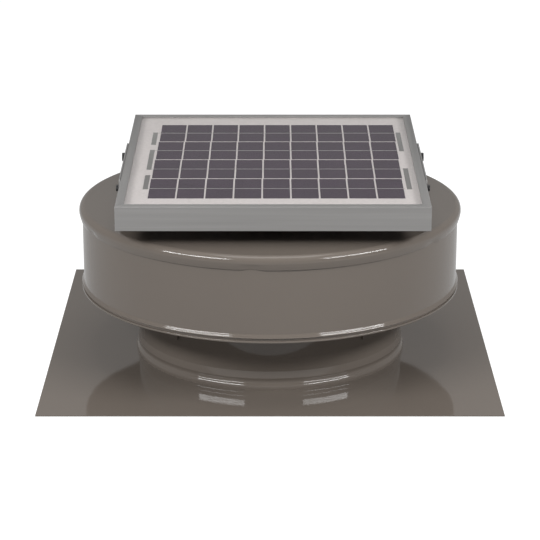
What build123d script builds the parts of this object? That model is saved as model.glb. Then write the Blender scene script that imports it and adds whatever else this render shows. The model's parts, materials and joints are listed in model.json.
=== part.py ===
"""Solar roof fan: a round-cap roof ventilator whose fan is driven by a solar panel on its lid.

Millimetres, +Z up, the front towards -Y. Each piece is modelled with the vent's axis on Z and then
moved, so that the origin comes to the middle of the flashing's underside.
"""

from build123d import *
from math import cos, radians, sin
import os

os.makedirs("parts", exist_ok=True)

# Driving dimensions: flashing and neck
base_side = 457.2
base_back = 20.0
base_sheet = 1.0
collar_height = 14.0
neck_radius = 138.7
neck_sheet = 1.0
neck_top = 98.4
foot_height = 4.4
foot_bead_radius = 2.6
throat_break = 0.4
sheet_gap = 0.1

# Driving dimensions: cap
band_radius = 194.7
band_bottom = 71.2
cap_sheet = 1.0
band_bead_height = 4.7
band_bead_depth = 2.2
band_bead_lip = 0.6
band_edge_radius = 0.8
band_hem_height = 2.6
band_hem_depth = 2.0
band_groove = 1.6
band_flange = 9.0
flange_bend = 3.0
rim_fold = 3.1
rim_gap = 0.2
rim_depth = 14.3
rim_fold_height = 6.5
fold_bend = 0.9
lid_top = 159.6
lid_edge_radius = 5.0
crimp_count = 6
crimp_size = 2.4
crimp_start = -95.0

# Driving dimensions: cap supports, screen and rivets
support_count = 4
support_start = 45.0
support_width = 18.0
support_sheet = 1.6
support_bottom = 42.0
support_foot = 24.0
support_rivet_low = 9.0
support_rivet_pitch = 33.0
rivet_radius = 2.0
rivet_head_radius = 3.6
rivet_head_height = 1.4
rivet_crown_radius = 2.0
rivet_hole_gap = 0.05
rivet_tail = 3.0
rivet_swell_radius = 2.7
rivet_tail_radius = 2.2
screen_sheet = 1.0
screen_overlap = 8.0
screen_lid_gap = 0.6
screen_columns = 40
screen_rows = 3
screen_bar = 2.4

# Driving dimensions: motor and fan
bridge_height = 85.0
bridge_width = 46.0
bridge_sheet = 2.0
bridge_flange = 7.0
bridge_tab = 24.0
bridge_rivet_drop = 14.4
motor_radius = 38.0
motor_length = 46.0
motor_edge_radius = 3.0
motor_cap_height = 7.7
motor_cap_lip = 1.2
motor_cap_edge_radius = 2.5
motor_boss_height = 3.3
motor_nose_radius = 11.0
motor_nose_length = 5.0
motor_screw_spacing = 52.0
motor_screw_radius = 2.0
motor_screw_head_radius = 4.0
motor_screw_head_height = 2.4
motor_screw_depth = 10.0
screw_end_gap = 0.5
bushing_wall = 3.0
shaft_radius = 4.0
shaft_running_gap = 0.05
shaft_in_motor = 29.0
shaft_end_gap = 2.0
shaft_thread_end = 2.0
shoulder_radius = 8.0
shoulder_height = 3.0
bushing_length = 35.0
fan_tip_gap = 10.7
fan_height = 55.0
blade_count = 5
blade_sheet = 1.8
blade_root_chord = 46.0
blade_tip_chord = 84.0
blade_root_pitch = 40.0
blade_tip_pitch = 21.0
blade_camber = 5.0
blade_trim = 5.0
hub_radius = 34.0
hub_length = 34.0
hub_wall = 2.6
hub_floor_thickness = 7.8
hub_edge_radius = 4.0
hub_boss_radius = 9.0
fan_nut_flats = 13.0
fan_nut_height = 6.5
fan_washer_radius = 8.0
fan_washer_height = 1.6

# Driving dimensions: solar panel
panel_width = 305.7
panel_length = 336.8
panel_offset = 3.0
panel_gap = 20.3
panel_tilt = 1.35
frame_height = 24.8
frame_wall = 1.5
frame_edge_radius = 0.6
frame_lip = 8.4
frame_flange = 15.0
shelf_thickness = 1.2
glass_thickness = 3.2
cell_layer = 0.3
ribbon_thickness = 0.1
backsheet_thickness = 0.5
laminate_gap = 0.1
cell_columns = 9
cell_rows = 4
cell_pitch_x = 27.7
cell_pitch_y = 67.1
cell_gap_x = 1.6
cell_gap_y = 2.0
cell_shift_x = 3.4
cell_shift_y = -0.5
ribbon_width = 1.4
bus_width = 5.0
bus_gap = 3.0
bus_terminal = 48.0
key_leg = 32.0
key_thickness = 3.0
box_width = 72.0
box_length = 58.0
box_depth = 13.0
box_wall = 2.0
box_corner = 4.0
box_lid_thickness = 2.0
box_back = 100.0
gland_flats = 11.6
gland_seat_length = 5.2
gland_cap_radius = 5.3
gland_cap_length = 9.8
gland_cap_taper = 8.0
gland_bore = 3.0

# Driving dimensions: panel brackets and bolts
bracket_sheet = 1.5
bracket_gap = 0.3
bracket_margin = 13.5
bracket_foot = 24.0
bracket_rivets_each = 3
bracket_corner = 5.0
pivot_ahead = 67.4
lock_behind = 43.6
tilt_down = 4.0
tilt_up = 3.0
bolt_radius = 2.5
bolt_running_gap = 0.05
bolt_slot_gap = 0.3
bolt_head_flats = 8.0
bolt_head_height = 3.5
bolt_tail = 1.5
washer_radius = 5.2
washer_thickness = 1.0
nut_flats = 8.0
nut_height = 4.0
grommet_radius = 8.0
grommet_neck_radius = 6.0
grommet_bore = 3.5
grommet_lip = 2.0
grommet_back = 62.0

# Places worked out from the driving dimensions
neck_inside = neck_radius - neck_sheet
fan_radius = neck_inside - fan_tip_gap
band_inside = band_radius - cap_sheet
lid_radius = band_radius + rim_gap + rim_fold
lid_under = lid_top - cap_sheet
bridge_top = bridge_height + bridge_sheet
motor_top = bridge_top + motor_length
panel_height = lid_top + panel_gap + frame_height
glass_top = -(frame_wall + laminate_gap)
cells_top = glass_top - glass_thickness
backsheet_top = cells_top - cell_layer
laminate_bottom = backsheet_top - backsheet_thickness
shelf_top = laminate_bottom - laminate_gap
bolt_level = -frame_height / 2
panel_plane = Plane(
    origin=(panel_offset, 0, panel_height),
    x_dir=(1, 0, 0),
    z_dir=(0, -sin(radians(panel_tilt)), cos(radians(panel_tilt))),
)


def panel_point(along, level):
    """Where a point of the panel's long section lies, as (Y, Z)."""
    point = panel_plane.from_local_coords((0, along, level))
    return point.Y, point.Z


def radial_plane(angle):
    """The upright plane through the vent's axis at an angle: x outwards, y up."""
    direction = (cos(radians(angle)), sin(radians(angle)), 0)
    return Plane(origin=(0, 0, 0), x_dir=direction, z_dir=(direction[1], -direction[0], 0))


def outward_plane(angle, radius, height):
    """The plane that touches a round wall from outside, its normal pointing away from the axis."""
    direction = (cos(radians(angle)), sin(radians(angle)), 0)
    origin = (radius * direction[0], radius * direction[1], height)
    return Plane(origin=origin, x_dir=(0, 0, 1), z_dir=direction)


def write(piece, node):
    """Bring a finished piece from the vent's axis to the flashing's middle and save it under its node's name."""
    placed = piece.part.moved(Location((0, -base_back, 0)))
    placed.label = node
    export_step(placed, f"parts/{node}.step")


def blind_rivet(grip):
    """One rivet along Z: its head sits on z = 0 and the shank passes down through the grip."""
    with BuildPart() as rivet:
        with BuildSketch(Plane.XZ):
            with BuildLine():
                Polyline(
                    (0, rivet_head_height),
                    (rivet_crown_radius, rivet_head_height),
                    (rivet_head_radius, 0),
                    (rivet_radius, 0),
                    (rivet_radius, -grip),
                    (rivet_swell_radius, -grip),
                    (rivet_tail_radius, -grip - rivet_tail),
                    (0, -grip - rivet_tail),
                    close=True,
                )
            make_face()
        revolve(axis=Axis.Z)
    return rivet.part


support_angles = [support_start + 360 / support_count * k for k in range(support_count)]
support_rivet_levels = (
    support_bottom + support_rivet_low,
    support_bottom + support_rivet_low + support_rivet_pitch,
)
support_face = neck_radius + sheet_gap
support_rivet_reach = support_face + (support_sheet + support_foot) / 2
bridge_rivet_level = bridge_height - bridge_rivet_drop
bridge_angles = (0.0, 180.0)

# Base flashing: one sheet, drawn up into a short collar round the throat, longer behind it than in front
collar_outside = neck_inside - sheet_gap
with BuildPart() as base_flashing:
    with BuildSketch():
        with Locations((0, base_back)):
            Rectangle(base_side, base_side)
        Circle(collar_outside - base_sheet, mode=Mode.SUBTRACT)
    extrude(amount=base_sheet)
    with BuildSketch(Plane.XY.offset(base_sheet)):
        Circle(collar_outside)
        Circle(collar_outside - base_sheet, mode=Mode.SUBTRACT)
    extrude(amount=collar_height)
    throat_edge = base_flashing.edges().filter_by(GeomType.CIRCLE).group_by(Axis.Z)[0]
    chamfer(throat_edge, length=throat_break)
write(base_flashing, "base_flashing")

# Neck collar: a rolled wall whose foot is swaged out into a round shoulder that stands on the flashing
bead_level = base_sheet + foot_height
wall_line = neck_radius - neck_sheet / 2
foot_line = wall_line + foot_bead_radius
with BuildPart() as neck_collar:
    with BuildSketch(Plane.XZ):
        with BuildLine() as neck_line:
            Line((wall_line, neck_top), (wall_line, bead_level + foot_bead_radius))
            RadiusArc((wall_line, bead_level + foot_bead_radius), (foot_line, bead_level), foot_bead_radius)
            Line((foot_line, bead_level), (foot_line, base_sheet))
            offset(amount=neck_sheet / 2)
        make_face()
    revolve(axis=Axis.Z)
    with BuildSketch():
        Circle(neck_radius + foot_bead_radius + 2 * neck_sheet)
    extrude(amount=base_sheet, mode=Mode.SUBTRACT)
    neck_rivet_seats = [
        outward_plane(angle, neck_radius, level) for angle in support_angles for level in support_rivet_levels
    ] + [outward_plane(angle, neck_radius, bridge_rivet_level) for angle in bridge_angles]
    with Locations(*neck_rivet_seats):
        Cylinder(rivet_radius + rivet_hole_gap, 4 * neck_sheet, mode=Mode.SUBTRACT)
write(neck_collar, "neck_collar")

# Bird screen: a pierced cylinder that stands in the neck's mouth and reaches up to the rivets under the lid
screen_outside = neck_inside - sheet_gap
screen_bottom = neck_top - screen_overlap
screen_top = lid_under - rivet_tail - screen_lid_gap
screen_row_pitch = (screen_top - neck_top - screen_bar) / screen_rows
screen_gap_width = 2 * screen_outside * sin(radians(180 / screen_columns)) - screen_bar
with BuildPart() as bird_screen:
    with BuildSketch(Plane.XY.offset(screen_bottom)):
        Circle(screen_outside)
        Circle(screen_outside - screen_sheet, mode=Mode.SUBTRACT)
    extrude(amount=screen_top - screen_bottom)
    for row in range(screen_rows):
        row_level = neck_top + screen_bar + screen_row_pitch * row
        with Locations((0, 0, row_level)):
            with PolarLocations(screen_outside, screen_columns):
                Box(
                    6 * screen_sheet,
                    screen_gap_width,
                    screen_row_pitch - screen_bar,
                    align=(Align.CENTER, Align.CENTER, Align.MIN),
                    mode=Mode.SUBTRACT,
                )
write(bird_screen, "bird_screen")

# Motor bracket: a channel bridge across the neck with rolled tabs at both ends
bridge_reach = neck_inside - sheet_gap
with BuildPart() as motor_bracket:
    with BuildSketch(Plane.XY.offset(bridge_height - bridge_tab)):
        Circle(bridge_reach)
        Circle(bridge_reach - bridge_sheet, mode=Mode.SUBTRACT)
    extrude(amount=bridge_tab)
    with BuildSketch(Plane.XY.offset(bridge_height)):
        Circle(bridge_reach)
    extrude(amount=bridge_sheet)
    with BuildSketch(Plane.XY.offset(bridge_height - bridge_tab)):
        Rectangle(2 * bridge_reach, bridge_width)
    extrude(amount=bridge_tab + bridge_sheet, mode=Mode.INTERSECT)
    with BuildSketch(Plane.XY.offset(bridge_height)):
        with GridLocations(0, bridge_width - bridge_sheet, 1, 2):
            Rectangle(2 * (bridge_reach - 2 * bridge_flange), bridge_sheet)
    extrude(amount=-bridge_flange)
    with BuildSketch(Plane.XY.offset(bridge_height)):
        Circle(motor_nose_radius + sheet_gap)
        with GridLocations(motor_screw_spacing, 0, 2, 1):
            Circle(motor_screw_radius + sheet_gap)
    extrude(amount=bridge_sheet, mode=Mode.SUBTRACT)
    with Locations(*[outward_plane(angle, neck_inside, bridge_rivet_level) for angle in bridge_angles]):
        Cylinder(rivet_radius + rivet_hole_gap, 4 * bridge_sheet, mode=Mode.SUBTRACT)
write(motor_bracket, "motor_bracket")

# Bridge rivets: driven through the neck into the bracket's tabs
bridge_rivet = blind_rivet(neck_sheet + bridge_sheet + 2 * sheet_gap)
with BuildPart() as bridge_rivets:
    with Locations(*[outward_plane(angle, neck_radius, bridge_rivet_level) for angle in bridge_angles]):
        add(bridge_rivet)
write(bridge_rivets, "bridge_rivets")

# Motor housing: a drawn can with a nose that passes down through the bridge
bushing_radius = shaft_radius + bushing_wall
with BuildPart() as motor_housing:
    with BuildSketch(Plane.XY.offset(bridge_top)):
        Circle(motor_radius)
    extrude(amount=motor_length)
    fillet(motor_housing.edges().group_by(Axis.Z)[0], radius=motor_edge_radius)
    with BuildSketch(Plane.XY.offset(bridge_top)):
        Circle(motor_nose_radius)
    extrude(amount=-motor_nose_length)
    with BuildSketch(Plane.XY.offset(bridge_top - motor_nose_length)):
        Circle(bushing_radius + sheet_gap / 2)
    extrude(amount=bushing_length + shaft_end_gap, mode=Mode.SUBTRACT)
    with BuildSketch(Plane.XY.offset(bridge_top)):
        with GridLocations(motor_screw_spacing, 0, 2, 1):
            Circle(motor_screw_radius + rivet_hole_gap)
    extrude(amount=motor_screw_depth + screw_end_gap, mode=Mode.SUBTRACT)
write(motor_housing, "motor_housing")

# Motor end cap: a flanged cover with the rear bearing's boss
with BuildPart() as motor_end_cap:
    with BuildSketch(Plane.XY.offset(motor_top)):
        Circle(motor_radius + motor_cap_lip)
    extrude(amount=motor_cap_height)
    fillet(motor_end_cap.edges().group_by(Axis.Z)[-1], radius=motor_cap_edge_radius)
    with BuildSketch(Plane.XY.offset(motor_top + motor_cap_height)):
        Circle(motor_nose_radius)
    extrude(amount=motor_boss_height)
write(motor_end_cap, "motor_end_cap")

# Motor bushing: the sleeve bearing in the nose
with BuildPart() as motor_bushing:
    with BuildSketch(Plane.XY.offset(bridge_top - motor_nose_length)):
        Circle(bushing_radius)
        Circle(shaft_radius + shaft_running_gap, mode=Mode.SUBTRACT)
    extrude(amount=bushing_length)
write(motor_bushing, "motor_bushing")

# Motor screws: two pan heads under the bridge
with BuildPart() as motor_screws:
    with BuildSketch(Plane.XY.offset(bridge_height)):
        with GridLocations(motor_screw_spacing, 0, 2, 1):
            Circle(motor_screw_head_radius)
    extrude(amount=-motor_screw_head_height)
    with BuildSketch(Plane.XY.offset(bridge_height)):
        with GridLocations(motor_screw_spacing, 0, 2, 1):
            Circle(motor_screw_radius)
    extrude(amount=bridge_sheet + motor_screw_depth)
write(motor_screws, "motor_screws")

# Motor shaft: runs in the bushing, with a shoulder for the hub and a threaded end below it
hub_top = fan_height + hub_length / 2
hub_floor = hub_top - hub_floor_thickness
shaft_bottom = hub_floor - fan_washer_height - fan_nut_height - shaft_thread_end
with BuildPart() as motor_shaft:
    with BuildSketch(Plane.XY.offset(shaft_bottom)):
        Circle(shaft_radius)
    extrude(amount=bridge_top + shaft_in_motor - shaft_bottom)
    with BuildSketch(Plane.XY.offset(hub_top)):
        Circle(shoulder_radius)
    extrude(amount=shoulder_height)
write(motor_shaft, "motor_shaft")


def blade_section(radius, chord, pitch):
    """The bent-plate section of a blade, square to its radius: x along the chord, y up."""
    chord_dir = (0, cos(radians(pitch)), sin(radians(pitch)))
    with BuildSketch(Plane(origin=(radius, 0, fan_height), x_dir=chord_dir, z_dir=(1, 0, 0))) as section:
        with BuildLine():
            ThreePointArc((-chord / 2, 0), (0, blade_camber), (chord / 2, 0))
            Line((chord / 2, 0), (chord / 2, -blade_sheet))
            ThreePointArc((chord / 2, -blade_sheet), (0, blade_camber - blade_sheet), (-chord / 2, -blade_sheet))
            Line((-chord / 2, -blade_sheet), (-chord / 2, 0))
        make_face()
    return section.sketch


# Fan impeller: a cup hub with twisted, cambered blades trimmed to the fan's circle
with BuildPart() as fan_blade:
    loft(
        [
            blade_section(hub_radius - hub_wall / 2, blade_root_chord, blade_root_pitch),
            blade_section(fan_radius + blade_trim, blade_tip_chord, blade_tip_pitch),
        ]
    )
    with BuildSketch():
        Circle(fan_radius)
        Circle(hub_radius - hub_wall / 2, mode=Mode.SUBTRACT)
    extrude(amount=2 * fan_height, mode=Mode.INTERSECT)
with BuildPart() as fan_impeller:
    with BuildSketch(Plane.XY.offset(hub_top - hub_length)):
        Circle(hub_radius)
    extrude(amount=hub_length)
    fillet(fan_impeller.edges().group_by(Axis.Z)[-1], radius=hub_edge_radius)
    with BuildSketch(Plane.XY.offset(hub_top - hub_length)):
        Circle(hub_radius - hub_wall)
        Circle(hub_boss_radius, mode=Mode.SUBTRACT)
    extrude(amount=hub_length - hub_wall, mode=Mode.SUBTRACT)
    with BuildSketch(Plane.XY.offset(hub_top - hub_length)):
        Circle(hub_boss_radius)
    extrude(amount=hub_floor - hub_top + hub_length, mode=Mode.SUBTRACT)
    with PolarLocations(0, blade_count):
        add(fan_blade.part)
    with BuildSketch(Plane.XY.offset(hub_top - hub_length)):
        Circle(shaft_radius + shaft_running_gap)
    extrude(amount=hub_length, mode=Mode.SUBTRACT)
write(fan_impeller, "fan_impeller")

# Fan washer and lock nut: hold the hub against the shaft's shoulder
with BuildPart() as fan_washer:
    with BuildSketch(Plane.XY.offset(hub_floor)):
        Circle(fan_washer_radius)
        Circle(shaft_radius + shaft_running_gap, mode=Mode.SUBTRACT)
    extrude(amount=-fan_washer_height)
write(fan_washer, "fan_washer")
with BuildPart() as fan_nut:
    with BuildSketch(Plane.XY.offset(hub_floor - fan_washer_height)):
        RegularPolygon(fan_nut_flats / 2, 6, major_radius=False)
        Circle(shaft_radius + shaft_running_gap, mode=Mode.SUBTRACT)
    extrude(amount=-fan_nut_height)
write(fan_nut, "fan_nut")

# Cap supports: strips riveted up the neck, turned out into a foot under the lid
for number, angle in enumerate(support_angles, start=1):
    with BuildPart() as cap_support:
        with BuildSketch(radial_plane(angle)):
            with BuildLine():
                Polyline(
                    (support_face, support_bottom),
                    (support_face, lid_under),
                    (support_face + support_foot, lid_under),
                    (support_face + support_foot, lid_under - support_sheet),
                    (support_face + support_sheet, lid_under - support_sheet),
                    (support_face + support_sheet, support_bottom),
                    close=True,
                )
            make_face()
        extrude(amount=support_width / 2, both=True)
        with Locations(*[outward_plane(angle, support_face, level) for level in support_rivet_levels]):
            Cylinder(rivet_radius + rivet_hole_gap, 4 * support_sheet, mode=Mode.SUBTRACT)
        foot_seat = radial_plane(angle).from_local_coords((support_rivet_reach, lid_under))
        with Locations(foot_seat):
            Cylinder(rivet_radius + rivet_hole_gap, 4 * support_sheet, mode=Mode.SUBTRACT)
    write(cap_support, f"cap_support_{number}")

# Support rivets: two in each strip's leg and one down through the lid into its foot
leg_rivet = blind_rivet(support_sheet + neck_sheet + 2 * sheet_gap)
foot_rivet = blind_rivet(cap_sheet + support_sheet)
support_leg_seats = [
    outward_plane(angle, support_face + support_sheet, level)
    for angle in support_angles
    for level in support_rivet_levels
]
support_foot_seats = [
    radial_plane(angle).from_local_coords((support_rivet_reach, lid_top)) for angle in support_angles
]
with BuildPart() as support_rivets:
    with Locations(*support_leg_seats):
        add(leg_rivet)
    with Locations(*support_foot_seats):
        add(foot_rivet)
write(support_rivets, "support_rivets")

# Cap band: a rolled wall with a flared bead and a hem below it, and a flange turned in under the lid
bead_bottom = band_bottom + band_hem_height + band_groove
bead_lip = bead_bottom + band_bead_lip
bead_top = bead_bottom + band_bead_height
with BuildPart() as cap_band:
    with BuildSketch(Plane.XZ) as band_section:
        with BuildLine():
            Polyline(
                (band_inside, bead_top),
                (band_inside, lid_under - cap_sheet),
                (band_radius - band_flange, lid_under - cap_sheet),
                (band_radius - band_flange, lid_under),
                (band_radius - flange_bend, lid_under),
            )
            RadiusArc((band_radius - flange_bend, lid_under), (band_radius, lid_under - flange_bend), flange_bend)
            Polyline(
                (band_radius, lid_under - flange_bend),
                (band_radius, bead_top),
                (band_radius + band_bead_depth, bead_lip),
                (band_radius, bead_bottom),
                (band_radius, band_bottom + band_hem_height),
                (band_radius + band_hem_depth, band_bottom + band_hem_height),
                (band_radius + band_hem_depth, band_bottom),
                (band_inside, band_bottom),
                (band_inside, bead_lip),
                (band_inside + band_bead_depth - cap_sheet / 2, bead_lip + cap_sheet),
                (band_inside, bead_top),
            )
        make_face()
        outer_corners = band_section.vertices().group_by(Axis.X)[-2:]
        fillet([corner for group in outer_corners for corner in group], radius=band_edge_radius)
    revolve(axis=Axis.Z)
write(cap_band, "cap_band")

# Cap lid: a pressed pan with a rounded edge, its rim folded in against the band and crimped
rim_bottom = lid_top - rim_depth
rim_inside = band_radius + rim_gap
lid_inner_radius = lid_edge_radius - cap_sheet
rim_fold_top = rim_bottom + rim_fold_height
bracket_face = panel_width / 2 + bracket_gap
foot_rivet_reach = bracket_face + bracket_sheet - bracket_foot / 2
upright_front = panel_point(-pivot_ahead - bracket_margin, 0)[0]
upright_rear = panel_point(lock_behind + bracket_margin, 0)[0]
foot_rivet_pitch = (upright_rear - upright_front) / bracket_rivets_each
foot_middle = (upright_front + upright_rear) / 2
foot_rivet_spots = [
    (panel_offset + side * foot_rivet_reach, foot_middle + foot_rivet_pitch * (k - (bracket_rivets_each - 1) / 2))
    for side in (-1, 1)
    for k in range(bracket_rivets_each)
]
with BuildPart() as cap_lid:
    with BuildSketch(Plane.XZ):
        with BuildLine():
            Line((0, lid_under), (0, lid_top))
            Line((0, lid_top), (lid_radius - lid_edge_radius, lid_top))
            RadiusArc(
                (lid_radius - lid_edge_radius, lid_top),
                (lid_radius, lid_top - lid_edge_radius),
                lid_edge_radius,
            )
            Polyline(
                (lid_radius, lid_top - lid_edge_radius),
                (lid_radius, rim_bottom + fold_bend),
                (lid_radius - fold_bend, rim_bottom),
                (rim_inside + fold_bend, rim_bottom),
                (rim_inside, rim_bottom + fold_bend),
                (rim_inside, rim_fold_top),
                (lid_radius - cap_sheet, rim_fold_top),
                (lid_radius - cap_sheet, lid_top - lid_edge_radius),
            )
            RadiusArc(
                (lid_radius - cap_sheet, lid_top - lid_edge_radius),
                (lid_radius - lid_edge_radius, lid_under),
                -lid_inner_radius,
            )
            Line((lid_radius - lid_edge_radius, lid_under), (0, lid_under))
        make_face()
    revolve(axis=Axis.Z)
    with BuildSketch(Plane.XY.offset(lid_under)):
        with Locations(*foot_rivet_spots):
            Circle(rivet_radius + rivet_hole_gap)
        with PolarLocations(support_rivet_reach, support_count, start_angle=support_start):
            Circle(rivet_radius + rivet_hole_gap)
        with Locations((panel_offset, grommet_back)):
            Circle(grommet_neck_radius + sheet_gap)
    extrude(amount=cap_sheet, mode=Mode.SUBTRACT)
    with BuildSketch(Plane.XY.offset(rim_bottom)):
        with PolarLocations(lid_radius, crimp_count, start_angle=crimp_start):
            Rectangle(cap_sheet, crimp_size)
    extrude(amount=crimp_size, mode=Mode.SUBTRACT)
write(cap_lid, "cap_lid")

# Cable grommet: a rubber ring in the lid, under the panel
with BuildPart() as cable_grommet:
    with BuildSketch(Plane(origin=(panel_offset, grommet_back, 0), x_dir=(1, 0, 0), z_dir=(0, -1, 0))):
        with BuildLine():
            Polyline(
                (grommet_bore, lid_under - grommet_lip),
                (grommet_bore, lid_top + grommet_lip),
                (grommet_neck_radius, lid_top + grommet_lip),
                (grommet_radius, lid_top),
                (grommet_neck_radius, lid_top),
                (grommet_neck_radius, lid_under),
                (grommet_radius, lid_under),
                (grommet_neck_radius, lid_under - grommet_lip),
                close=True,
            )
        make_face()
    revolve(axis=Axis((panel_offset, grommet_back, 0), (0, 0, 1)))
write(cable_grommet, "cable_grommet")

# Panel brackets: folded plates riveted to the lid, with a pivot hole and a curved slot in each upright
pivot_spot = panel_point(-pivot_ahead, bolt_level)
bolt_reach = pivot_ahead + lock_behind
slot_half = bolt_radius + bolt_slot_gap
slot_start = panel_tilt - tilt_down
slot_sweep = tilt_down + tilt_up


def slot_end(angle):
    """A point on the lock bolt's arc about the pivot, as (Y, Z)."""
    return (
        pivot_spot[0] + bolt_reach * cos(radians(angle)),
        pivot_spot[1] + bolt_reach * sin(radians(angle)),
    )


slot_low = slot_end(slot_start)
slot_high = slot_end(slot_start + slot_sweep)
for side_name, side in (("left", -1), ("right", 1)):
    inner_face = panel_offset + side * bracket_face
    with BuildPart() as panel_bracket:
        with BuildSketch(Plane.YZ.offset(inner_face)):
            with BuildLine():
                Polyline(
                    (upright_front, lid_top),
                    (upright_rear, lid_top),
                    panel_point(lock_behind + bracket_margin, 0),
                    panel_point(-pivot_ahead - bracket_margin, 0),
                    close=True,
                )
            make_face()
            with Locations(pivot_spot):
                Circle(bolt_radius + bolt_running_gap, mode=Mode.SUBTRACT)
            with BuildLine():
                CenterArc(pivot_spot, bolt_reach + slot_half, slot_start, slot_sweep)
                CenterArc(pivot_spot, bolt_reach - slot_half, slot_start, slot_sweep)
                CenterArc(slot_low, slot_half, slot_start + 180, 180)
                CenterArc(slot_high, slot_half, slot_start + slot_sweep, 180)
            make_face(mode=Mode.SUBTRACT)
        extrude(amount=side * bracket_sheet)
        with BuildSketch(Plane.XY.offset(lid_top)):
            with Locations((inner_face + side * (bracket_sheet - bracket_foot / 2), foot_middle)):
                Rectangle(bracket_foot, upright_rear - upright_front)
            with Locations(*foot_rivet_spots):
                Circle(rivet_radius + rivet_hole_gap, mode=Mode.SUBTRACT)
        extrude(amount=bracket_sheet)
        top_corners = panel_bracket.edges().filter_by(Axis.X).group_by(Axis.Z)[-2:]
        fillet([edge for group in top_corners for edge in group], radius=bracket_corner)
    write(panel_bracket, f"panel_bracket_{side_name}")

# Bracket rivets: through the brackets' feet and the lid
bracket_rivet = blind_rivet(bracket_sheet + cap_sheet)
with BuildPart() as bracket_rivets:
    with Locations(*[(x, y, lid_top + bracket_sheet) for x, y in foot_rivet_spots]):
        add(bracket_rivet)
write(bracket_rivets, "bracket_rivets")

# Panel frame: four extruded rails, mitred at the corners, with a groove for the laminate
rail_sides = (
    ("front", 0, panel_length / 2, panel_width),
    ("right", 90, panel_width / 2, panel_length),
    ("rear", 180, panel_length / 2, panel_width),
    ("left", 270, panel_width / 2, panel_length),
)
bolt_spots = (-pivot_ahead, lock_behind)
for side_name, turn, reach, length in rail_sides:
    rail_dir = panel_plane.x_dir * cos(radians(turn)) + panel_plane.y_dir * sin(radians(turn))
    rail_plane = Plane(origin=panel_plane.origin, x_dir=rail_dir, z_dir=panel_plane.z_dir)
    section_plane = Plane(
        origin=rail_plane.from_local_coords((-length / 2, -reach, 0)),
        x_dir=rail_plane.y_dir,
        z_dir=rail_plane.x_dir,
    )
    with BuildPart() as frame_rail:
        with BuildSketch(section_plane) as rail_section:
            Rectangle(frame_wall, frame_height, align=(Align.MIN, Align.MAX))
            Rectangle(frame_lip, frame_wall, align=(Align.MIN, Align.MAX))
            with Locations((0, shelf_top)):
                Rectangle(frame_lip, shelf_thickness, align=(Align.MIN, Align.MAX))
            with Locations((0, -frame_height)):
                Rectangle(frame_flange, frame_wall, align=(Align.MIN, Align.MIN))
            fillet(rail_section.vertices().group_by(Axis.X)[0], radius=frame_edge_radius)
        extrude(amount=length)
        with BuildSketch(rail_plane):
            with BuildLine():
                Polyline(
                    (-length / 2, -reach),
                    (length / 2, -reach),
                    (length / 2 - frame_flange, frame_flange - reach),
                    (frame_flange - length / 2, frame_flange - reach),
                    close=True,
                )
            make_face()
        extrude(amount=-frame_height, mode=Mode.INTERSECT)
        if side_name in ("left", "right"):
            with Locations(*[panel_plane.from_local_coords((0, spot, bolt_level)) for spot in bolt_spots]):
                Cylinder(
                    bolt_radius + bolt_running_gap,
                    2 * panel_width,
                    rotation=(0, 90, 0),
                    mode=Mode.SUBTRACT,
                )
    write(frame_rail, f"frame_rail_{side_name}")

# Frame corner keys: angle pieces staked inside the rails at each corner
key_height = frame_height - frame_wall + shelf_top - shelf_thickness
key_inset_x = panel_width / 2 - frame_wall
key_inset_y = panel_length / 2 - frame_wall
with BuildPart() as frame_corner_keys:
    for across in (-1, 1):
        for along in (-1, 1):
            with BuildSketch(panel_plane.offset(frame_wall - frame_height)):
                with BuildLine():
                    Polyline(
                        (across * key_inset_x, along * key_inset_y),
                        (across * (key_inset_x - key_leg), along * key_inset_y),
                        (across * (key_inset_x - key_leg), along * (key_inset_y - key_thickness)),
                        (across * (key_inset_x - key_thickness), along * (key_inset_y - key_thickness)),
                        (across * (key_inset_x - key_thickness), along * (key_inset_y - key_leg)),
                        (across * key_inset_x, along * (key_inset_y - key_leg)),
                        close=True,
                    )
                make_face()
            extrude(amount=key_height)
write(frame_corner_keys, "frame_corner_keys")

# Panel glass and backsheet: held by their edges in the rails' groove
laminate_width = panel_width - 2 * (frame_wall + laminate_gap)
laminate_length = panel_length - 2 * (frame_wall + laminate_gap)
with BuildPart() as panel_glass:
    with BuildSketch(panel_plane.offset(glass_top)):
        Rectangle(laminate_width, laminate_length)
    extrude(amount=-glass_thickness)
write(panel_glass, "panel_glass")
with BuildPart() as panel_backsheet:
    with BuildSketch(panel_plane.offset(backsheet_top)):
        Rectangle(laminate_width, laminate_length)
    extrude(amount=-backsheet_thickness)
write(panel_backsheet, "panel_backsheet")

# Solar cells: strings of cut wafers under the glass
with BuildPart() as solar_cells:
    with BuildSketch(panel_plane.offset(backsheet_top)):
        with Locations((cell_shift_x, cell_shift_y)):
            with GridLocations(cell_pitch_x, cell_pitch_y, cell_columns, cell_rows):
                Rectangle(cell_pitch_x - cell_gap_x, cell_pitch_y - cell_gap_y)
    extrude(amount=cell_layer - ribbon_thickness)
write(solar_cells, "solar_cells")

# String ribbons: one along the middle of each row, between the bus ribbons at its ends
string_length = cell_columns * cell_pitch_x + 2 * bus_gap
with BuildPart() as string_ribbons:
    with BuildSketch(panel_plane.offset(cells_top)):
        with Locations((cell_shift_x, cell_shift_y)):
            with GridLocations(0, cell_pitch_y, 1, cell_rows):
                Rectangle(string_length, ribbon_width)
    extrude(amount=-ribbon_thickness)
write(string_ribbons, "string_ribbons")

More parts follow.
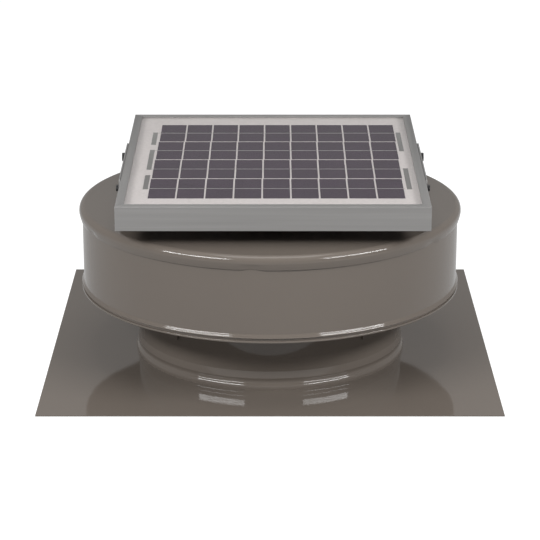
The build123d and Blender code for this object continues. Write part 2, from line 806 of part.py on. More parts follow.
# Bus ribbons: terminals and links at the ends of the strings
row_levels = [cell_shift_y + cell_pitch_y * (k - (cell_rows - 1) / 2) for k in range(cell_rows)]
bus_reach = (string_length + bus_width) / 2
link_length = cell_pitch_y + bus_width
left_bus = cell_shift_x - bus_reach
right_bus = cell_shift_x + bus_reach
terminal_shift = (bus_terminal - bus_width) / 2
bus_bars = [
    (left_bus, row_levels[0] + terminal_shift, bus_terminal),
    (left_bus, (row_levels[1] + row_levels[2]) / 2, link_length),
    (left_bus, row_levels[3] - terminal_shift, bus_terminal),
    (right_bus, (row_levels[0] + row_levels[1]) / 2, link_length),
    (right_bus, (row_levels[2] + row_levels[3]) / 2, link_length),
]
with BuildPart() as bus_ribbons:
    with BuildSketch(panel_plane.offset(backsheet_top)):
        for bar_x, bar_y, bar_length in bus_bars:
            with Locations((bar_x, bar_y)):
                Rectangle(bus_width, bar_length)
    extrude(amount=cell_layer)
write(bus_ribbons, "bus_ribbons")

# Junction box: a tray glued under the backsheet, closed by a snap-on lid
box_spot = (0, box_back)
with BuildPart() as junction_box:
    with BuildSketch(panel_plane.offset(laminate_bottom)):
        with Locations(box_spot):
            RectangleRounded(box_width, box_length, box_corner)
    extrude(amount=-box_depth)
    with BuildSketch(panel_plane.offset(laminate_bottom - box_depth)):
        with Locations(box_spot):
            RectangleRounded(box_width - 2 * box_wall, box_length - 2 * box_wall, box_corner - box_wall)
    extrude(amount=box_depth - box_wall, mode=Mode.SUBTRACT)
    gland_plane = Plane(
        origin=panel_plane.from_local_coords((0, box_back - box_length / 2, laminate_bottom - box_depth / 2)),
        x_dir=(1, 0, 0),
        z_dir=-panel_plane.y_dir,
    )
    with BuildSketch(gland_plane):
        Circle(gland_bore)
    extrude(amount=-box_wall, mode=Mode.SUBTRACT)
write(junction_box, "junction_box")
with BuildPart() as junction_box_lid:
    with BuildSketch(panel_plane.offset(laminate_bottom - box_depth)):
        with Locations(box_spot):
            RectangleRounded(box_width, box_length, box_corner)
    extrude(amount=-box_lid_thickness)
write(junction_box_lid, "junction_box_lid")

# Cable gland: a hexagon seat and a round cap nut on the box's front side
with BuildPart() as cable_gland:
    with BuildSketch(gland_plane):
        RegularPolygon(gland_flats / 2, 6, major_radius=False)
    extrude(amount=gland_seat_length)
    with BuildSketch(gland_plane.offset(gland_seat_length)):
        Circle(gland_cap_radius)
    extrude(amount=gland_cap_length, taper=gland_cap_taper)
    with BuildSketch(gland_plane):
        Circle(gland_bore)
    extrude(amount=gland_seat_length + gland_cap_length, mode=Mode.SUBTRACT)
write(cable_gland, "cable_gland")

# Panel bolts: hexagon bolts through the uprights and the side rails, washers outside and nuts inside
washer_seat = bracket_face + bracket_sheet + bracket_gap
head_seat = washer_seat + washer_thickness
nut_seat = panel_width / 2 - frame_wall


def side_plane(side, spot, reach):
    """The plane across a panel bolt, its normal pointing away from the panel's middle."""
    origin = panel_plane.from_local_coords((side * reach, spot, bolt_level))
    return Plane(origin=origin, x_dir=panel_plane.y_dir, z_dir=panel_plane.x_dir * side)


for bolt_name, spot in (("pivot_bolts", -pivot_ahead), ("lock_bolts", lock_behind)):
    with BuildPart() as panel_bolts:
        for side in (-1, 1):
            with BuildSketch(side_plane(side, spot, head_seat)):
                RegularPolygon(bolt_head_flats / 2, 6, major_radius=False)
            extrude(amount=bolt_head_height)
            with BuildSketch(side_plane(side, spot, head_seat)):
                Circle(bolt_radius)
            extrude(amount=-(head_seat - nut_seat + nut_height + bolt_tail))
    write(panel_bolts, bolt_name)
with BuildPart() as bolt_washers:
    for spot in bolt_spots:
        for side in (-1, 1):
            with BuildSketch(side_plane(side, spot, washer_seat)):
                Circle(washer_radius)
                Circle(bolt_radius + bolt_running_gap, mode=Mode.SUBTRACT)
            extrude(amount=washer_thickness)
write(bolt_washers, "bolt_washers")
with BuildPart() as bolt_nuts:
    for spot in bolt_spots:
        for side in (-1, 1):
            with BuildSketch(side_plane(side, spot, nut_seat)):
                RegularPolygon(nut_flats / 2, 6, major_radius=False)
                Circle(bolt_radius + bolt_running_gap, mode=Mode.SUBTRACT)
            extrude(amount=-nut_height)
write(bolt_nuts, "bolt_nuts")
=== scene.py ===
"""Looks of the solar roof fan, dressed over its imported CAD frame, in metres."""

import json
from math import atan2, cos, degrees, pi, radians, sin

import bmesh
import bpy
from mathutils import Matrix, Vector


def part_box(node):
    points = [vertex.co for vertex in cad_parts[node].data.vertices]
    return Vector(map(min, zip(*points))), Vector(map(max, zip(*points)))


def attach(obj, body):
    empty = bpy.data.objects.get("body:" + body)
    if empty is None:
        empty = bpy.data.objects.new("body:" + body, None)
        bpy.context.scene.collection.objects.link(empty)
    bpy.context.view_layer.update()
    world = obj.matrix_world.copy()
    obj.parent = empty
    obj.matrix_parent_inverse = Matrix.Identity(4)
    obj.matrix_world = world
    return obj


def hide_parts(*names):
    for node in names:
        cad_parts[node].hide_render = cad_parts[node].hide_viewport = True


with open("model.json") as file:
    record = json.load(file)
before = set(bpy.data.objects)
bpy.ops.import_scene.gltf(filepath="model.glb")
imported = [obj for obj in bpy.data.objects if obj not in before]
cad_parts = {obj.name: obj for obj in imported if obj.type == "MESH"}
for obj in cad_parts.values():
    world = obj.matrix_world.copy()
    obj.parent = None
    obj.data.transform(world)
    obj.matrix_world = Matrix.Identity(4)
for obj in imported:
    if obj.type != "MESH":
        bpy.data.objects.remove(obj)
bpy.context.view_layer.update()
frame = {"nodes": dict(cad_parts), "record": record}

# Base flashing
# A square of prepainted aluminium sheet, cut from the coil and drawn up into a short collar
# round the throat. Its enamel is glossy enough to mirror the neck that stands on it.
MM = 0.001
record = frame["record"]
body_of = {
    node: body for body, members in record["behaviour"]["bodies"].items() for node in members
}


def enamel(name, color, roughness, ripple):
    """Baked enamel: faint tone drift and orange peel, over the sheet's own slow ripple."""
    material = bpy.data.materials.new(name)
    material.use_nodes = True
    tree = material.node_tree
    shader = tree.nodes["Principled BSDF"]
    shader.inputs["IOR"].default_value = 1.47
    place = tree.nodes.new("ShaderNodeTexCoord")
    drift = tree.nodes.new("ShaderNodeTexNoise")
    drift.inputs["Scale"].default_value = 7.0
    drift.inputs["Detail"].default_value = 3.0
    tone = tree.nodes.new("ShaderNodeValToRGB")
    tone.color_ramp.elements[0].color = [0.95 * part for part in color] + [1.0]
    tone.color_ramp.elements[1].color = [1.05 * part for part in color] + [1.0]
    haze = tree.nodes.new("ShaderNodeMapRange")
    haze.inputs["To Min"].default_value = roughness * 0.9
    haze.inputs["To Max"].default_value = roughness * 1.1
    peel = tree.nodes.new("ShaderNodeTexNoise")
    peel.inputs["Scale"].default_value = 420.0
    peel.inputs["Detail"].default_value = 1.0
    bump = tree.nodes.new("ShaderNodeBump")
    bump.inputs["Strength"].default_value = 0.03
    bump.inputs["Distance"].default_value = 0.3 * MM
    wave = tree.nodes.new("ShaderNodeTexNoise")
    wave.inputs["Scale"].default_value = 22.0
    wave.inputs["Detail"].default_value = 1.0
    sway = tree.nodes.new("ShaderNodeBump")
    sway.inputs["Strength"].default_value = 1.0
    sway.inputs["Distance"].default_value = ripple
    for texture in (drift, peel, wave):
        tree.links.new(place.outputs["Object"], texture.inputs["Vector"])
    tree.links.new(wave.outputs["Fac"], sway.inputs["Height"])
    tree.links.new(sway.outputs["Normal"], bump.inputs["Normal"])
    tree.links.new(drift.outputs["Fac"], tone.inputs["Fac"])
    tree.links.new(tone.outputs["Color"], shader.inputs["Base Color"])
    tree.links.new(drift.outputs["Fac"], haze.inputs["Value"])
    tree.links.new(haze.outputs["Result"], shader.inputs["Roughness"])
    tree.links.new(peel.outputs["Fac"], bump.inputs["Height"])
    tree.links.new(bump.outputs["Normal"], shader.inputs["Normal"])
    return material


def new_piece(name, draft, crease=35.0):
    """Turn a bmesh draft into a smooth object whose edges past the crease angle stay sharp."""
    mesh = bpy.data.meshes.new(name)
    draft.to_mesh(mesh)
    draft.free()
    mesh.shade_smooth()
    mesh.set_sharp_from_angle(angle=radians(crease))
    piece = bpy.data.objects.new(name, mesh)
    bpy.context.scene.collection.objects.link(piece)
    return piece


def settle(piece, material, node):
    """Give a new piece its finish and let it stand for, and ride with, its CAD node."""
    piece.data.materials.append(material)
    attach(piece, body_of[node])
    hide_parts(node)
    return piece


base_low, base_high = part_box("base_flashing")
neck_low, neck_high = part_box("neck_collar")
vent_axis = Vector((0, (neck_low.y + neck_high.y) / 2, 0))
enamel_brown = (0.148, 0.126, 0.108)
brown_enamel = enamel("brown_enamel", enamel_brown, roughness=0.06, ripple=0.02 * MM)
flashing_enamel = enamel("flashing_enamel", enamel_brown, roughness=0.06, ripple=0.12 * MM)
base_sheet = 1.0 * MM
throat_radius = 136.6 * MM
turn_steps = 256
flashing = bmesh.new()
bmesh.ops.create_circle(
    flashing, segments=turn_steps, radius=throat_radius, matrix=Matrix.Translation(vent_axis)
)
throat_rim = list(flashing.edges)
corners = [
    flashing.verts.new((x, y, 0))
    for x, y in (
        (base_low.x, base_low.y),
        (base_high.x, base_low.y),
        (base_high.x, base_high.y),
        (base_low.x, base_high.y),
    )
]
for corner in range(4):
    flashing.edges.new((corners[corner - 1], corners[corner]))
bmesh.ops.triangle_fill(flashing, edges=list(flashing.edges), use_beauty=True)
collar = bmesh.ops.extrude_edge_only(flashing, edges=throat_rim)["geom"]
collar_verts = [item for item in collar if isinstance(item, bmesh.types.BMVert)]
bmesh.ops.translate(flashing, verts=collar_verts, vec=(0, 0, base_high.z - base_sheet))
bmesh.ops.translate(flashing, verts=flashing.verts, vec=(0, 0, base_sheet))
bmesh.ops.recalc_face_normals(flashing, faces=flashing.faces)
bmesh.ops.solidify(flashing, geom=list(flashing.faces), thickness=base_sheet)
bmesh.ops.recalc_face_normals(flashing, faces=flashing.faces)
settle(new_piece("base_flashing_sheet", flashing), flashing_enamel, "base_flashing")

# Neck collar
# The same enamelled sheet rolled into a short drum that widens a little upwards, and seamed. Its
# foot flares out and ends in a round shoulder that stands over the flashing's own collar.
weld_distance = 1e-6


def turned(name, outline, rounds, crease=35.0):
    """Spin a closed outline of (radius, height) points about the vent's axis.

    Each (corner, radius) in rounds is rounded first. Each long run then gets a ring near both
    ends, so that its shading stays flat up to the rounding.
    """
    long_run = 2.0 * MM
    ring_inset = 0.3 * MM
    draft = bmesh.new()
    corners = [
        draft.verts.new(vent_axis + Vector((radius, 0, height))) for radius, height in outline
    ]
    draft.faces.new(corners)
    for corner, radius in rounds:
        bmesh.ops.bevel(
            draft,
            geom=[corners[corner]],
            offset=radius,
            offset_type="OFFSET",
            segments=8,
            profile=0.5,
            affect="VERTICES",
            material=-1,
        )
    bmesh.ops.delete(draft, geom=list(draft.faces), context="FACES_ONLY")
    for run in [edge for edge in draft.edges if edge.calc_length() > long_run]:
        start, end = run.verts
        inset = ring_inset / run.calc_length()
        ring = bmesh.utils.edge_split(run, start, inset)[1]
        rest = next(edge for edge in ring.link_edges if end in edge.verts)
        bmesh.utils.edge_split(rest, end, inset)
    bmesh.ops.spin(
        draft,
        geom=list(draft.verts) + list(draft.edges),
        cent=vent_axis,
        axis=(0, 0, 1),
        angle=2 * pi,
        steps=turn_steps,
        use_merge=True,
    )
    bmesh.ops.remove_doubles(draft, verts=draft.verts, dist=weld_distance)
    bmesh.ops.recalc_face_normals(draft, faces=draft.faces)
    return new_piece(name, draft, crease)


neck_radius = 138.7 * MM
neck_sheet = 1.0 * MM
neck_spread = 2.0 * MM
spread_height = 50.0 * MM
# The foot's section, from its inside out and up, as millimetres past the radius and above the roof.
foot_steps = (
    (-1.0, 6.0), (0.2, 6.0), (1.0, 5.5), (1.6, 4.6), (2.0, 3.4), (2.0, 1.0),
    (3.0, 1.0), (3.0, 3.4), (2.8, 4.5), (2.45, 5.4), (1.9, 6.3), (1.25, 7.0), (0.75, 7.6),
    (0.4, 8.6), (0.35, 9.8), (0.55, 11.2), (0.9, 12.3), (1.0, 12.9), (0.0, 20.0),
)
neck_outline = [
    *((neck_radius + step * MM, height * MM) for step, height in foot_steps),
    (neck_radius + neck_spread, spread_height),
    (neck_radius + neck_spread, neck_high.z),
    (neck_radius - neck_sheet, neck_high.z),
]
neck = turned("neck_collar_wall", neck_outline, rounds=[], crease=60.0)
settle(neck, brown_enamel, "neck_collar")

# Cap band
# The hood's upright wall: enamelled sheet rolled to a hoop, its lower edge stiffened by a flared
# bead with two shallow ridges and finished with a folded hem.
band_low, band_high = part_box("cap_band")
band_radius = 195.4 * MM
cap_sheet = 1.0 * MM
hem_height = 2.2 * MM
hem_depth = 2.0 * MM
hem_round = 0.8 * MM
groove = 2.0 * MM
flare_height = 4.7 * MM
flare_step = 0.55 * MM
ridge_leans = (20.0, 27.0, 34.0, 41.0)
hem_top = band_low.z + hem_height
flare_low = hem_top + groove
flare = [(band_radius, flare_low + flare_height)]
for lean in ridge_leans * 2:
    radius, height = flare[-1]
    flare.append((
        radius + flare_step * sin(radians(lean)),
        height - flare_step * cos(radians(lean)),
    ))
band_outline = [
    (band_radius - cap_sheet, band_low.z),
    (band_radius - cap_sheet, band_high.z),
    (band_radius, band_high.z),
    *flare,
    (band_radius, flare_low),
    (band_radius, hem_top),
    (band_radius + hem_depth, hem_top),
    (band_radius + hem_depth, band_low.z),
]
hem_corners = (len(band_outline) - 2, len(band_outline) - 1)
band = turned("cap_band_wall", band_outline, [(corner, hem_round) for corner in hem_corners])
settle(band, brown_enamel, "cap_band")

# Cap lid
# A shallow pressed pan that closes the hood. Its edge is rounded by the press, and its rim is
# rolled in against the band and crimped at six places.
lid_low, lid_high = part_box("cap_lid")
lid_margin = 0.6 * MM
rim_clearance = 0.5 * MM
lid_radius = lid_high.x + lid_margin
rim_inside = band_radius + rim_clearance
lid_edge = 6.2 * MM
fold_top = lid_low.z + 6.5 * MM
roll_start = lid_low.z + 6.8 * MM
roll_middle = lid_low.z + 3.6 * MM
roll_inset = 0.7 * MM
lip_inset = 1.8 * MM
lip_round = 0.3 * MM
lid_outline = [
    (0.0, lid_high.z - cap_sheet),
    (0.0, lid_high.z),
    (lid_radius, lid_high.z),
    (lid_radius, roll_start),
    (lid_radius - roll_inset, roll_middle),
    (lid_radius - lip_inset, lid_low.z),
    (rim_inside, lid_low.z),
    (rim_inside, fold_top),
    (lid_radius - cap_sheet, fold_top),
    (lid_radius - cap_sheet, lid_high.z - cap_sheet),
]
lid_rounds = [(2, lid_edge), (5, lip_round), (9, lid_edge - cap_sheet)]
lid = turned("cap_lid_pan", lid_outline, lid_rounds)
crimp_start = -95.0
crimp_spacing = 60.0
crimp_half_width = 4.0
crimp_top = lid_low.z + 4.0 * MM
crimp_lift = Vector((0, 0, 0.7 * MM))
crimp_depth = 1.0 * MM
for vertex in lid.data.vertices:
    reach = Vector((vertex.co.x, vertex.co.y - vent_axis.y, 0))
    if vertex.co.z < crimp_top and reach.length > band_radius:
        turn = degrees(atan2(reach.y, reach.x)) - crimp_start + crimp_spacing / 2
        off_crimp = turn % crimp_spacing - crimp_spacing / 2
        pinch = max(0.0, 1 - (off_crimp / crimp_half_width) ** 2) ** 2
        vertex.co += pinch * (crimp_lift - crimp_depth * reach.normalized())
settle(lid, brown_enamel, "cap_lid")

# Cap supports and rivets
# Enamelled strips, riveted up the neck's wall and following its spread, carry the hood's lid. All
# rivets are zinc plated blind rivets.


def dressed(node, material, edge=0.3 * MM, crease=35.0):
    """A copy of a CAD node, welded, with broken edges and its curves shaded smooth."""
    draft = bmesh.new()
    draft.from_mesh(frame["nodes"][node].data)
    bmesh.ops.remove_doubles(draft, verts=draft.verts, dist=weld_distance)
    piece = new_piece(f"{node}_piece", draft, crease)
    if edge:
        broken = piece.modifiers.new("broken_edge", "BEVEL")
        broken.width = edge
        broken.segments = 2
        broken.limit_method = "ANGLE"
        broken.angle_limit = radians(crease)
        broken.harden_normals = True
    return settle(piece, material, node)


def metal(name, color, roughness, grain=(1.0, 1.0, 1.0), streak=0.0, metallic=1.0):
    """Bare or anodised metal with a soft grain along one direction."""
    material = bpy.data.materials.new(name)
    material.use_nodes = True
    tree = material.node_tree
    shader = tree.nodes["Principled BSDF"]
    shader.inputs["Metallic"].default_value = metallic
    place = tree.nodes.new("ShaderNodeTexCoord")
    stretch = tree.nodes.new("ShaderNodeMapping")
    stretch.inputs["Scale"].default_value = grain
    noise = tree.nodes.new("ShaderNodeTexNoise")
    noise.inputs["Scale"].default_value = 260.0
    noise.inputs["Detail"].default_value = 3.0
    tone = tree.nodes.new("ShaderNodeValToRGB")
    tone.color_ramp.elements[0].color = [(1 - streak) * part for part in color] + [1.0]
    tone.color_ramp.elements[1].color = [(1 + streak) * part for part in color] + [1.0]
    haze = tree.nodes.new("ShaderNodeMapRange")
    haze.inputs["To Min"].default_value = roughness * 0.85
    haze.inputs["To Max"].default_value = roughness * 1.15
    tree.links.new(place.outputs["Object"], stretch.inputs["Vector"])
    tree.links.new(stretch.outputs["Vector"], noise.inputs["Vector"])
    tree.links.new(noise.outputs["Fac"], tone.inputs["Fac"])
    tree.links.new(tone.outputs["Color"], shader.inputs["Base Color"])
    tree.links.new(noise.outputs["Fac"], haze.inputs["Value"])
    tree.links.new(haze.outputs["Result"], shader.inputs["Roughness"])
    return material


zinc = metal("zinc_plate", (0.55, 0.55, 0.54), roughness=0.38, streak=0.06)
on_the_spread = [dressed(f"cap_support_{number}", brown_enamel) for number in range(1, 5)]
on_the_spread.append(dressed("support_rivets", zinc, edge=0))
for piece in on_the_spread:
    for vertex in piece.data.vertices:
        reach = Vector((vertex.co.x, vertex.co.y - vent_axis.y, 0))
        vertex.co += neck_spread * reach.normalized()
dressed("bridge_rivets", zinc, edge=0)
dressed("bracket_rivets", zinc, edge=0)

# Bird screen
# A hoop of pierced aluminium sheet, left as it came from the mill. It stands in the neck's mouth
# and keeps birds and leaves out.
mill_aluminium = metal(
    "mill_aluminium", (0.6, 0.6, 0.6), roughness=0.42, grain=(0.1, 0.1, 1.0), streak=0.08
)
dressed("bird_screen", mill_aluminium, edge=0)

# Motor and its bracket
# A small direct-current motor in a drawn can, painted black, screwed to a folded steel bridge
# across the neck. Its nose holds a sintered bronze sleeve bearing.


def moulded(name, color, roughness, grain_scale, grain_depth):
    """Painted or moulded surface with a fine even grain."""
    material = bpy.data.materials.new(name)
    material.use_nodes = True
    tree = material.node_tree
    shader = tree.nodes["Principled BSDF"]
    shader.inputs["Roughness"].default_value = roughness
    place = tree.nodes.new("ShaderNodeTexCoord")
    noise = tree.nodes.new("ShaderNodeTexNoise")
    noise.inputs["Scale"].default_value = grain_scale
    tone = tree.nodes.new("ShaderNodeValToRGB")
    tone.color_ramp.elements[0].color = [0.88 * part for part in color] + [1.0]
    tone.color_ramp.elements[1].color = [1.12 * part for part in color] + [1.0]
    bump = tree.nodes.new("ShaderNodeBump")
    bump.inputs["Strength"].default_value = 0.15
    bump.inputs["Distance"].default_value = grain_depth
    tree.links.new(place.outputs["Object"], noise.inputs["Vector"])
    tree.links.new(noise.outputs["Fac"], tone.inputs["Fac"])
    tree.links.new(tone.outputs["Color"], shader.inputs["Base Color"])
    tree.links.new(noise.outputs["Fac"], bump.inputs["Height"])
    tree.links.new(bump.outputs["Normal"], shader.inputs["Normal"])
    return material


motor_black = moulded(
    "motor_black", (0.03, 0.03, 0.032), roughness=0.4, grain_scale=900.0, grain_depth=0.1 * MM
)
bronze = metal("bronze", (0.5, 0.33, 0.14), roughness=0.4, streak=0.1)
dressed("motor_bracket", zinc)
dressed("motor_housing", motor_black)
dressed("motor_end_cap", motor_black)
dressed("motor_bushing", bronze, edge=0.2 * MM)
dressed("motor_screws", zinc, edge=0.2 * MM)

# Fan
# A one-piece aluminium impeller with pitched blades round a cupped hub, clamped on the motor's
# ground steel shaft by a washer and a lock nut.
ground_steel = metal("ground_steel", (0.5, 0.5, 0.5), roughness=0.25, streak=0.05)
dressed("motor_shaft", ground_steel, edge=0.2 * MM)
dressed("fan_impeller", mill_aluminium, edge=0.2 * MM, crease=30.0)
dressed("fan_washer", zinc, edge=0.2 * MM)
dressed("fan_nut", zinc)

# Panel brackets
# Two folded aluminium plates riveted to the lid. Their uprights stand outside the panel's rails,
# each with a pivot hole and a curved slot.
frame_grey = (0.26, 0.255, 0.25)
# Painted shade: the side rails, brackets and corner keys take the frame grey at 0.9, darker than
# the front and rear rails, for the dimmer look of the side rails' top faces.
frame_along_shaded = metal(
    "anodised_along_painted_shade",
    [0.9 * part for part in frame_grey],
    roughness=0.42,
    grain=(1.0, 0.02, 1.0),
    streak=0.16,
    metallic=0.25,
)
dressed("panel_bracket_left", frame_along_shaded)
dressed("panel_bracket_right", frame_along_shaded)

# Cable grommet and junction box
# The panel's leads leave a glued-on box under the backsheet through a gland, and pass the lid in
# a rubber grommet.
black_plastic = moulded(
    "black_plastic", (0.022, 0.022, 0.024), roughness=0.5, grain_scale=1400.0, grain_depth=0.05 * MM
)
black_rubber = moulded(
    "black_rubber", (0.018, 0.018, 0.018), roughness=0.7, grain_scale=1100.0, grain_depth=0.08 * MM
)
dressed("cable_grommet", black_rubber)
dressed("junction_box", black_plastic, edge=0.5 * MM)
dressed("junction_box_lid", black_plastic, edge=0.5 * MM)
dressed("cable_gland", black_plastic)

# Panel frame
# Four anodised aluminium extrusions, drawn with a fine grain along their length, mitred at the
# corners and joined by staked corner keys.
frame_across = metal(
    "anodised_across",
    frame_grey,
    roughness=0.42,
    grain=(0.02, 1.0, 1.0),
    streak=0.16,
    metallic=0.25,
)
dressed("frame_rail_front", frame_across, edge=0.5 * MM)
dressed("frame_rail_rear", frame_across, edge=0.5 * MM)
# The side rails take the darker copy of the frame grey, which is painted shade on their top faces.
dressed("frame_rail_left", frame_along_shaded, edge=0.5 * MM)
dressed("frame_rail_right", frame_along_shaded, edge=0.5 * MM)
dressed("frame_corner_keys", frame_along_shaded)

# Panel laminate
# Tempered glass over strings of cut silicon cells, joined by tinned ribbons and bedded on a
# white film. The cell rows lie a little askew, each further right than the one in front.
sheet_white = moulded(
    "backsheet_film", (0.62, 0.555, 0.55), roughness=0.55, grain_scale=300.0, grain_depth=0.02 * MM
)
dressed("panel_backsheet", sheet_white, edge=0)
ribbon = metal(
    "tinned_ribbon",
    (0.36, 0.345, 0.335),
    roughness=0.35,
    grain=(0.05, 1.0, 1.0),
    streak=0.08,
    metallic=0.3,
)
dressed("string_ribbons", ribbon, edge=0)
bus_tin = metal(
    "bus_tin",
    (0.2, 0.19, 0.185),
    roughness=0.35,
    grain=(1.0, 0.05, 1.0),
    streak=0.12,
    metallic=0.3,
)
cells_low, cells_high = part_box("solar_cells")
cells_middle = (cells_low.x + cells_high.x) / 2
bus_shift = 1.8 * MM
bus = dressed("bus_ribbons", bus_tin, edge=0)
for vertex in bus.data.vertices:
    if vertex.co.x > cells_middle:
        vertex.co.x += bus_shift


def silicon(name):
    """Cell wafers: dark purple-grey, a little different from cell to cell."""
    material = bpy.data.materials.new(name)
    material.use_nodes = True
    tree = material.node_tree
    shader = tree.nodes["Principled BSDF"]
    shader.inputs["Roughness"].default_value = 0.35
    shader.inputs["IOR"].default_value = 1.2
    place = tree.nodes.new("ShaderNodeTexCoord")
    noise = tree.nodes.new("ShaderNodeTexNoise")
    noise.inputs["Scale"].default_value = 12.0
    tone = tree.nodes.new("ShaderNodeValToRGB")
    tone.color_ramp.elements[0].color = (0.02, 0.006, 0.021, 1.0)
    tone.color_ramp.elements[1].color = (0.03, 0.012, 0.03, 1.0)
    tree.links.new(place.outputs["Object"], noise.inputs["Vector"])
    tree.links.new(noise.outputs["Fac"], tone.inputs["Fac"])
    tree.links.new(tone.outputs["Color"], shader.inputs["Base Color"])
    return material


cells = dressed("solar_cells", silicon("silicon_wafer"), edge=0)
cell_rows = 4
row_pitch = (cells_high.y - cells_low.y) / cell_rows
row_stagger = 0.6 * MM
widening = 0.0185
for vertex in cells.data.vertices:
    row = min(cell_rows - 1, int((vertex.co.y - cells_low.y) / row_pitch))
    vertex.co.x += (vertex.co.x - cells_middle) * widening + row * row_stagger


def solar_glass(name):
    """Clear tempered glass that bends the view of the cells and lets the lamps' light through."""
    material = bpy.data.materials.new(name)
    material.use_nodes = True
    tree = material.node_tree
    shader = tree.nodes["Principled BSDF"]
    shader.inputs["Base Color"].default_value = (0.98, 0.985, 0.98, 1.0)
    shader.inputs["Transmission Weight"].default_value = 1.0
    shader.inputs["IOR"].default_value = 1.5
    place = tree.nodes.new("ShaderNodeTexCoord")
    texture = tree.nodes.new("ShaderNodeTexNoise")
    texture.inputs["Scale"].default_value = 60.0
    haze = tree.nodes.new("ShaderNodeMapRange")
    haze.inputs["To Min"].default_value = 0.01
    haze.inputs["To Max"].default_value = 0.03
    clear = tree.nodes.new("ShaderNodeBsdfTransparent")
    clear.inputs["Color"].default_value = (0.95, 0.96, 0.955, 1.0)
    path = tree.nodes.new("ShaderNodeLightPath")
    side = tree.nodes.new("ShaderNodeNewGeometry")
    lit = tree.nodes.new("ShaderNodeMath")
    lit.operation = "MAXIMUM"
    through = tree.nodes.new("ShaderNodeMath")
    through.operation = "MAXIMUM"
    mix = tree.nodes.new("ShaderNodeMixShader")
    tree.links.new(place.outputs["Object"], texture.inputs["Vector"])
    tree.links.new(texture.outputs["Fac"], haze.inputs["Value"])
    tree.links.new(haze.outputs["Result"], shader.inputs["Roughness"])
    tree.links.new(path.outputs["Is Shadow Ray"], lit.inputs[0])
    tree.links.new(path.outputs["Is Diffuse Ray"], lit.inputs[1])
    tree.links.new(lit.outputs["Value"], through.inputs[0])
    tree.links.new(side.outputs["Backfacing"], through.inputs[1])
    tree.links.new(through.outputs["Value"], mix.inputs["Fac"])
    tree.links.new(shader.outputs["BSDF"], mix.inputs[1])
    tree.links.new(clear.outputs["BSDF"], mix.inputs[2])
    tree.links.new(mix.outputs["Shader"], tree.nodes["Material Output"].inputs["Surface"])
    return material


dressed("panel_glass", solar_glass("tempered_glass"))

# Panel bolts
# Black oxide hexagon bolts with washers outside and nuts inside the side rails. The front pair
# are the pivots, with low slim heads, and the rear pair lock the tilt.
black_oxide = moulded(
    "black_oxide", (0.02, 0.02, 0.021), roughness=0.35, grain_scale=700.0, grain_depth=0.05 * MM
)
pivot_bolts = dressed("pivot_bolts", black_oxide)
dressed("lock_bolts", black_oxide)
washers = dressed("bolt_washers", black_oxide, edge=0.2 * MM)
pivot_low, pivot_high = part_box("pivot_bolts")
pivot_middle = (pivot_low + pivot_high) / 2
washers_low, washers_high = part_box("bolt_washers")
head_seat = (washers_high.x - washers_low.x) / 2
seat_slack = 0.1 * MM
shank_reach = 3.0 * MM
head_reach = 8.0 * MM
head_slimness = 0.72
head_lowering = 0.35
for piece in (pivot_bolts, washers):
    for vertex in piece.data.vertices:
        reach = vertex.co - pivot_middle
        past_seat = abs(reach.x) - head_seat
        if shank_reach < reach.yz.length < head_reach:
            vertex.co.yz = pivot_middle.yz + reach.yz * head_slimness
        if past_seat > seat_slack:
            vertex.co.x -= past_seat * head_lowering * (1 if reach.x > 0 else -1)
dressed("bolt_nuts", zinc)

# Floor
# A plain white studio floor, seen from above only. What the camera and mirrors see of it is white,
# with a faint shadow.


def joined(tree, operation, *values):
    """A Math node fed with the given sockets and numbers. Returns its result."""
    node = tree.nodes.new("ShaderNodeMath")
    node.operation = operation
    for socket, value in zip(node.inputs, values):
        if isinstance(value, (int, float)):
            socket.default_value = value
        else:
            tree.links.new(value, socket)
    return node.outputs["Value"]


def shown_white(tree, mirrored_share):
    """1 for rays from the camera or through glass, and a share of that for rays off a gloss."""
    path = tree.nodes.new("ShaderNodeLightPath").outputs
    mirrored = joined(tree, "MULTIPLY", path["Is Glossy Ray"], mirrored_share)
    direct = joined(tree, "MAXIMUM", path["Is Camera Ray"], path["Is Transmission Ray"])
    return joined(tree, "MAXIMUM", direct, mirrored)


floor_reach = 6.0
floor_drop = 0.3 * MM
floor_draft = bmesh.new()
bmesh.ops.create_grid(floor_draft, x_segments=1, y_segments=1, size=floor_reach)
bmesh.ops.translate(floor_draft, verts=floor_draft.verts, vec=(0, 0, -floor_drop))
floor = new_piece("floor", floor_draft)
floor_white = bpy.data.materials.new("floor_white")
floor_white.use_nodes = True
floor_tree = floor_white.node_tree
floor_tree.nodes.remove(floor_tree.nodes["Principled BSDF"])
floor_diffuse = floor_tree.nodes.new("ShaderNodeBsdfDiffuse")
floor_diffuse.inputs["Color"].default_value = (0.32, 0.32, 0.32, 1.0)
floor_glow = floor_tree.nodes.new("ShaderNodeEmission")
glow = 0.9
glow_level = joined(floor_tree, "MULTIPLY", shown_white(floor_tree, mirrored_share=0.35), glow)
floor_tree.links.new(glow_level, floor_glow.inputs["Strength"])
floor_sum = floor_tree.nodes.new("ShaderNodeAddShader")
floor_tree.links.new(floor_diffuse.outputs["BSDF"], floor_sum.inputs[0])
floor_tree.links.new(floor_glow.outputs["Emission"], floor_sum.inputs[1])
floor_side = floor_tree.nodes.new("ShaderNodeNewGeometry")
floor_clear = floor_tree.nodes.new("ShaderNodeBsdfTransparent")
one_sided = floor_tree.nodes.new("ShaderNodeMixShader")
floor_tree.links.new(floor_side.outputs["Backfacing"], one_sided.inputs["Fac"])
floor_tree.links.new(floor_sum.outputs["Shader"], one_sided.inputs[1])
floor_tree.links.new(floor_clear.outputs["BSDF"], one_sided.inputs[2])
floor_output = floor_tree.nodes["Material Output"]
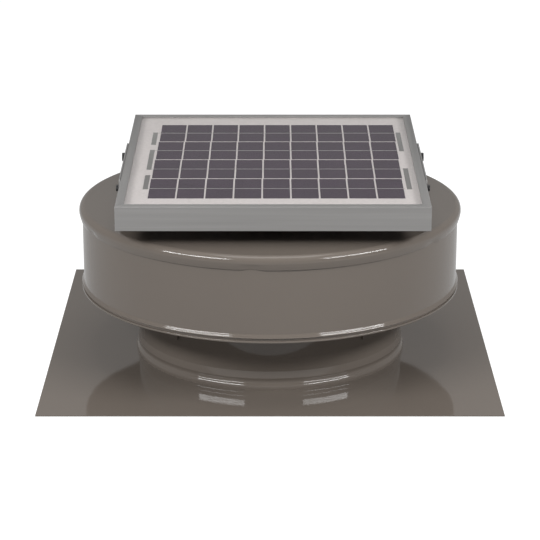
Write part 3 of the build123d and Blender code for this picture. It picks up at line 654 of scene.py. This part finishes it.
floor_tree.links.new(one_sided.outputs["Shader"], floor_output.inputs["Surface"])
floor.data.materials.append(floor_white)

# Studio light
# Two long softboxes, front left and front right, and a square one overhead, in a dim even room
# that shows white behind the object.
world = bpy.data.worlds.new("studio")
bpy.context.scene.world = world
world.use_nodes = True
room_tree = world.node_tree
room = room_tree.nodes["Background"]
room.inputs["Color"].default_value = (1.0, 1.0, 1.0, 1.0)
room_level = 0.33
room_seen = shown_white(room_tree, mirrored_share=0.03)
room_strength = joined(room_tree, "MULTIPLY_ADD", room_seen, 1 - room_level, room_level)
room_tree.links.new(room_strength, room.inputs["Strength"])
box_target = Vector((0, 0, 0.1))
box_distance = 1.6
box_elevation = radians(31.0)
for box_name, azimuth in (("softbox_left", radians(-44.0)), ("softbox_right", radians(51.0))):
    away = Vector((
        sin(azimuth) * cos(box_elevation),
        -cos(azimuth) * cos(box_elevation),
        sin(box_elevation),
    ))
    lamp = bpy.data.lights.new(box_name, "AREA")
    lamp.shape = "RECTANGLE"
    lamp.size = 1.05
    lamp.size_y = 0.2
    lamp.energy = 15.5
    holder = bpy.data.objects.new(box_name, lamp)
    holder.location = box_target + away * box_distance
    holder.rotation_euler = (-away).to_track_quat("-Z", "Y").to_euler()
    bpy.context.scene.collection.objects.link(holder)
top_light = bpy.data.lights.new("top_light", "AREA")
top_light.size = 1.2
top_light.energy = 9.5
top_holder = bpy.data.objects.new("top_light", top_light)
top_holder.location = (0.0, -0.2, 2.1)
bpy.context.scene.collection.objects.link(top_holder)

# Camera
# A long lens straight in front, looking down by about 18 degrees. Its place was solved from the
# flashing's four corners in the photograph.
camera_data = bpy.data.cameras.new("camera")
camera_data.sensor_width = 36.0
camera_data.lens = 140.09
camera = bpy.data.objects.new("camera", camera_data)
camera.location = (0.0, -2.1273, 0.7728)
camera.rotation_euler = (radians(71.842), 0.0, 0.0)
bpy.context.scene.collection.objects.link(camera)
bpy.context.scene.camera = camera
bpy.context.scene.view_settings.view_transform = "Standard"
